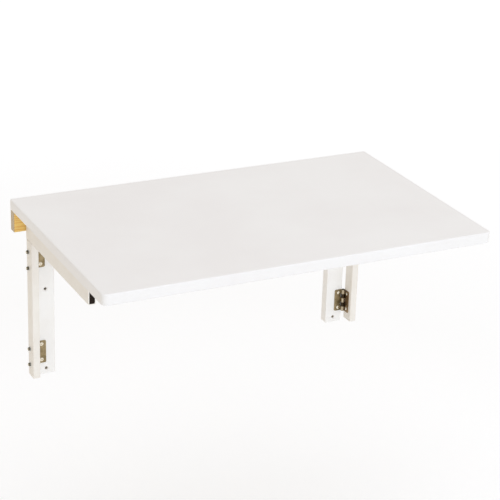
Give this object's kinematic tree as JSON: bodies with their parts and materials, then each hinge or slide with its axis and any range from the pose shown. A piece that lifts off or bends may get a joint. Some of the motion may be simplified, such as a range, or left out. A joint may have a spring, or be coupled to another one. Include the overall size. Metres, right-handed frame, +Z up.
{
  "type": "wall mounted drop leaf table",
  "caption": "Narrow folding wall table: a flat leaf hinged to a wall rail, held level by swing-out tube brackets on hinged posts.",
  "frame": {"origin": "centre of the wall rail's back face, on the wall's plane", "axes": "+X along the rail to the right of someone facing the wall, +Y into the wall, +Z up"},
  "size_m": [0.8, 0.502, 0.388],
  "materials": {
    "white_lacquer": "satin white lacquer",
    "natural_wood": "clear satin lacquer",
    "white_powder_coat": "satin powder coat",
    "hinge_bronze": "dark bronze plating",
    "hinge_pin": "dark bronze plating",
    "bright_nickel": "bright nickel plating",
    "zinc_steel": "zinc plating",
    "dark_nut": "black oxide",
    "black_plastic": "matt",
    "nylon": "matt",
    "beech_dowel": "unfinished"
  },
  "bodies": {
    "wall_frame": {"wall_rail": "natural_wood", "frame_screws": "zinc_steel", "rail_hinge_screws": "bright_nickel", "left_wall_post": "white_lacquer", "left_post_dowels": "beech_dowel", "left_post_hinge_screws": "bright_nickel", "left_upper_hinge_post_leaf": "hinge_bronze", "left_upper_hinge_pin": "hinge_pin", "left_lower_hinge_post_leaf": "hinge_bronze", "left_lower_hinge_pin": "hinge_pin", "right_wall_post": "white_lacquer", "right_post_dowels": "beech_dowel", "right_post_hinge_screws": "bright_nickel", "right_upper_hinge_post_leaf": "hinge_bronze", "right_upper_hinge_pin": "hinge_pin", "right_lower_hinge_post_leaf": "hinge_bronze", "right_lower_hinge_pin": "hinge_pin", "left_drop_hinge_rail_leaf": "hinge_bronze", "left_drop_hinge_pin": "hinge_pin", "middle_drop_hinge_rail_leaf": "hinge_bronze", "middle_drop_hinge_pin": "hinge_pin", "right_drop_hinge_rail_leaf": "hinge_bronze", "right_drop_hinge_pin": "hinge_pin"},
    "drop_leaf": {"tabletop": "white_lacquer", "tabletop_hinge_screws": "bright_nickel", "left_drop_hinge_top_leaf": "hinge_bronze", "middle_drop_hinge_top_leaf": "hinge_bronze", "right_drop_hinge_top_leaf": "hinge_bronze"},
    "left_bracket": {"left_bracket_upright": "white_powder_coat", "left_bracket_arm": "white_powder_coat", "left_bracket_weld": "white_powder_coat", "left_arm_front_plug": "black_plastic", "left_arm_rear_plug": "black_plastic", "left_upright_plug": "black_plastic", "left_arm_glides": "nylon", "left_bracket_bolts": "bright_nickel", "left_bracket_washers": "zinc_steel", "left_bracket_nuts": "dark_nut", "left_upper_hinge_bracket_leaf": "hinge_bronze", "left_lower_hinge_bracket_leaf": "hinge_bronze"},
    "right_bracket": {"right_bracket_upright": "white_powder_coat", "right_bracket_arm": "white_powder_coat", "right_bracket_weld": "white_powder_coat", "right_arm_front_plug": "black_plastic", "right_arm_rear_plug": "black_plastic", "right_upright_plug": "black_plastic", "right_arm_glides": "nylon", "right_bracket_bolts": "bright_nickel", "right_bracket_washers": "zinc_steel", "right_bracket_nuts": "dark_nut", "right_upper_hinge_bracket_leaf": "hinge_bronze", "right_lower_hinge_bracket_leaf": "hinge_bronze"}
  },
  "joints": [
    {"name": "right_bracket_swing", "type": "hinge", "parent": "wall_frame", "child": "right_bracket", "pos_m": [0.3547, -0.0243, -0.185], "axis": [0, 0, -1], "range_deg": [0, 90]},
    {"name": "left_bracket_swing", "type": "hinge", "parent": "wall_frame", "child": "left_bracket", "pos_m": [-0.3547, -0.0243, -0.185], "axis": [0, 0, 1], "range_deg": [0, 90]},
    {"name": "tabletop_lift", "type": "hinge", "parent": "wall_frame", "child": "drop_leaf", "pos_m": [0, -0.0233, 0.0197], "axis": [-1, 0, 0], "range_deg": [0, 4]}
  ]
}
